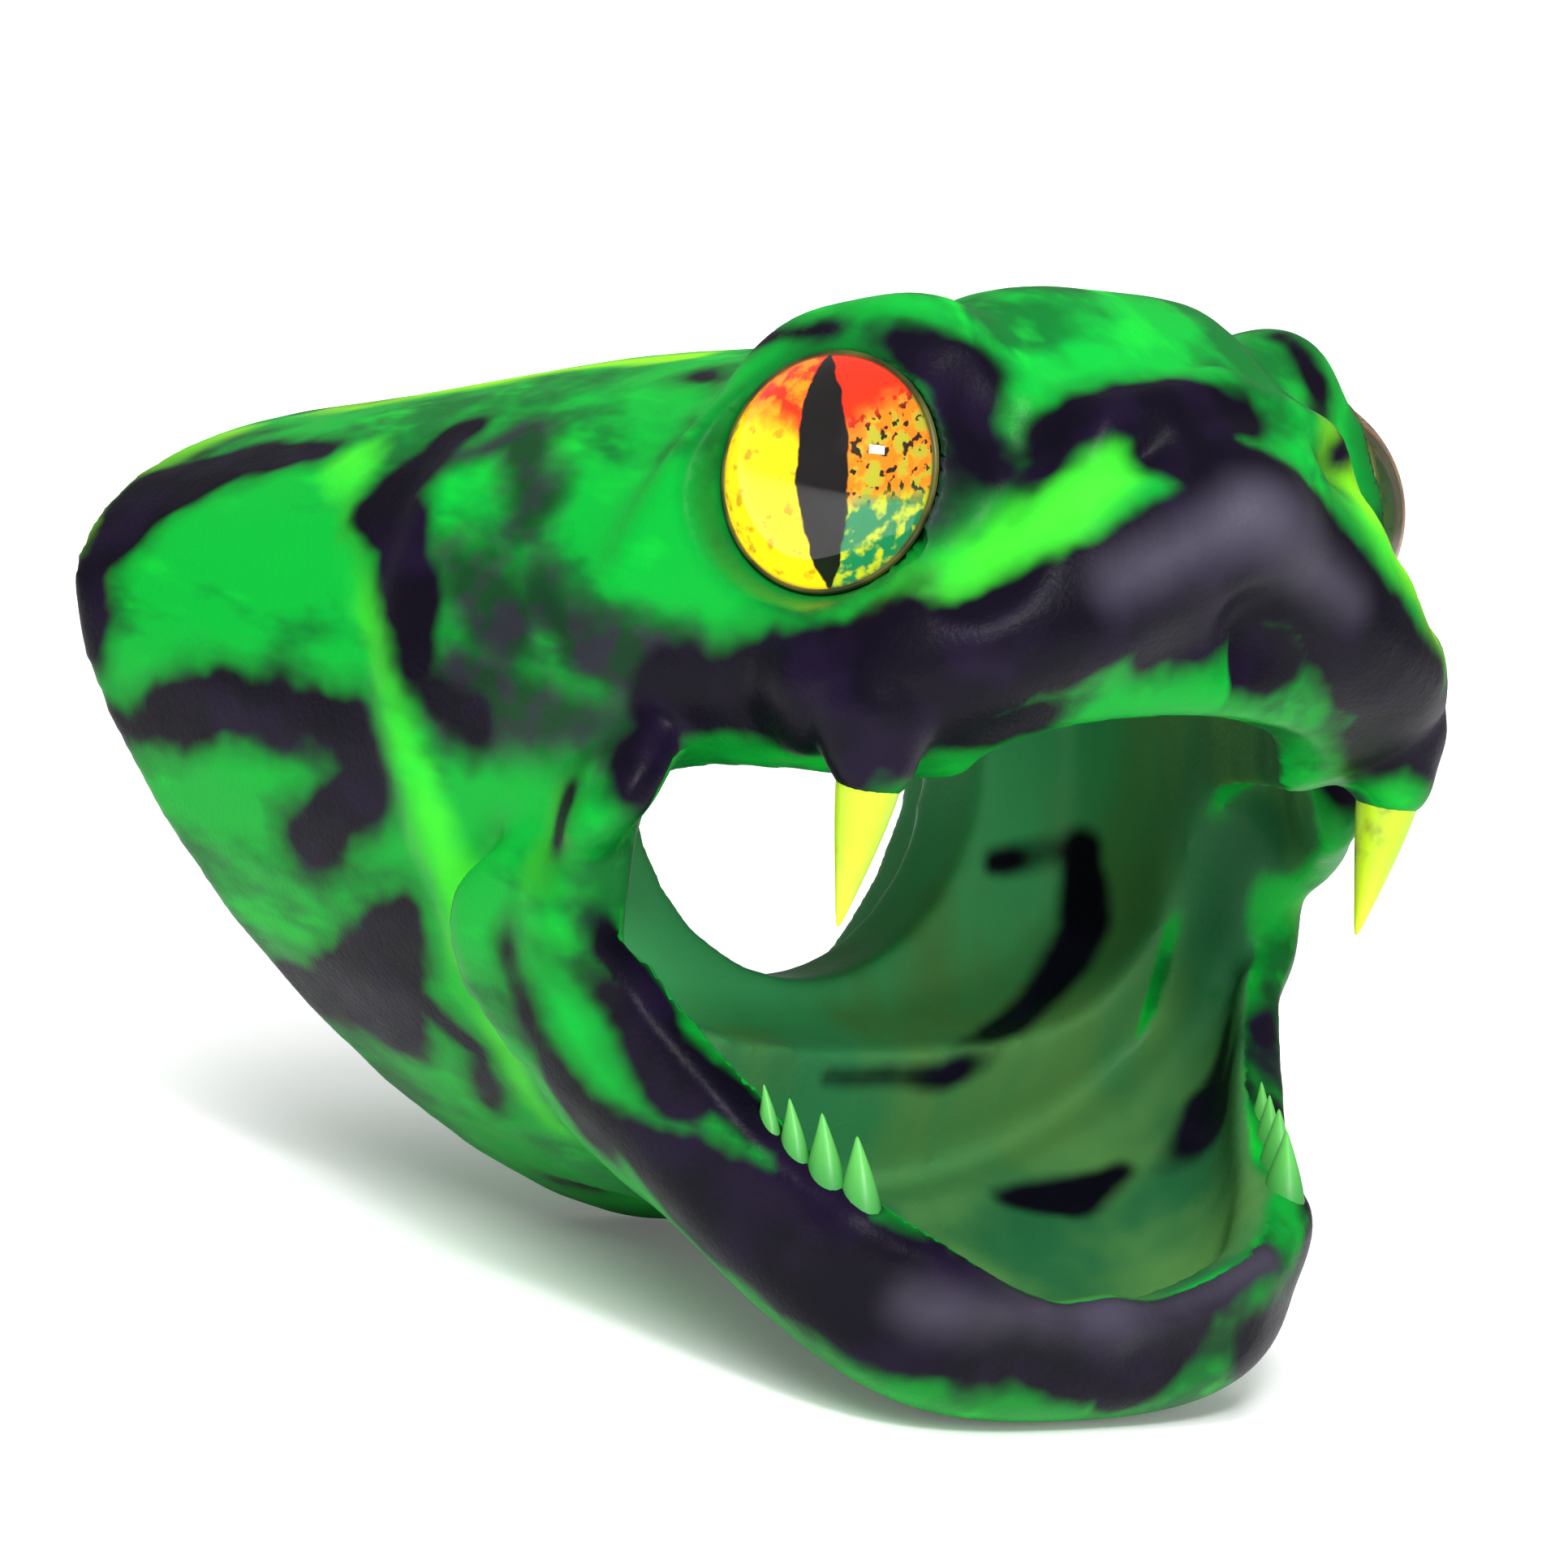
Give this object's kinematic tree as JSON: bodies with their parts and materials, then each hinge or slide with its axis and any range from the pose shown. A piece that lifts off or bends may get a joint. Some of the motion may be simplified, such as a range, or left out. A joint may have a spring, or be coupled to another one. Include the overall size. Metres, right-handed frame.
{
  "type": "snake head topper",
  "caption": "Hollow moulded snake head with an open, sprung jaw, glass slit-pupil eyes, fangs, lower teeth and a round neck bore that slides over a tube.",
  "frame": {"origin": "centre of the bottom of the object's box, on the surface it stands on", "axes": "snout along -Y, up +Z, the snake's left side +X; the open rear of the hood faces +Y and down"},
  "size_m": [0.0614, 0.065, 0.0564],
  "materials": {
    "marbled_silicone": "matte to satin silicone, bright green marbled with black",
    "eye_glass": "clear polished glass dome",
    "iris_print": "printed yellow, orange and green iris with a black slit pupil",
    "fang_silicone": "satin yellow-green silicone",
    "tooth_silicone": "translucent green silicone"
  },
  "bodies": {
    "head": {"head_shell": "marbled_silicone", "eye_glass_left": "eye_glass", "eye_glass_right": "eye_glass", "iris_disc_left": "iris_print", "iris_disc_right": "iris_print", "fang_left": "fang_silicone", "fang_right": "fang_silicone"},
    "jaw": {"lower_jaw": "marbled_silicone", "tooth_left_1": "tooth_silicone", "tooth_left_2": "tooth_silicone", "tooth_left_3": "tooth_silicone", "tooth_left_4": "tooth_silicone", "tooth_right_1": "tooth_silicone", "tooth_right_2": "tooth_silicone", "tooth_right_3": "tooth_silicone", "tooth_right_4": "tooth_silicone"}
  },
  "joints": [
    {"name": "jaw_hinge", "type": "hinge", "parent": "head", "child": "jaw", "pos_m": [0, -0.0105, 0.02], "axis": [-1, 0, 0], "range_deg": [-5, 24], "stiffness_Nm_per_rad": 0.45}
  ]
}
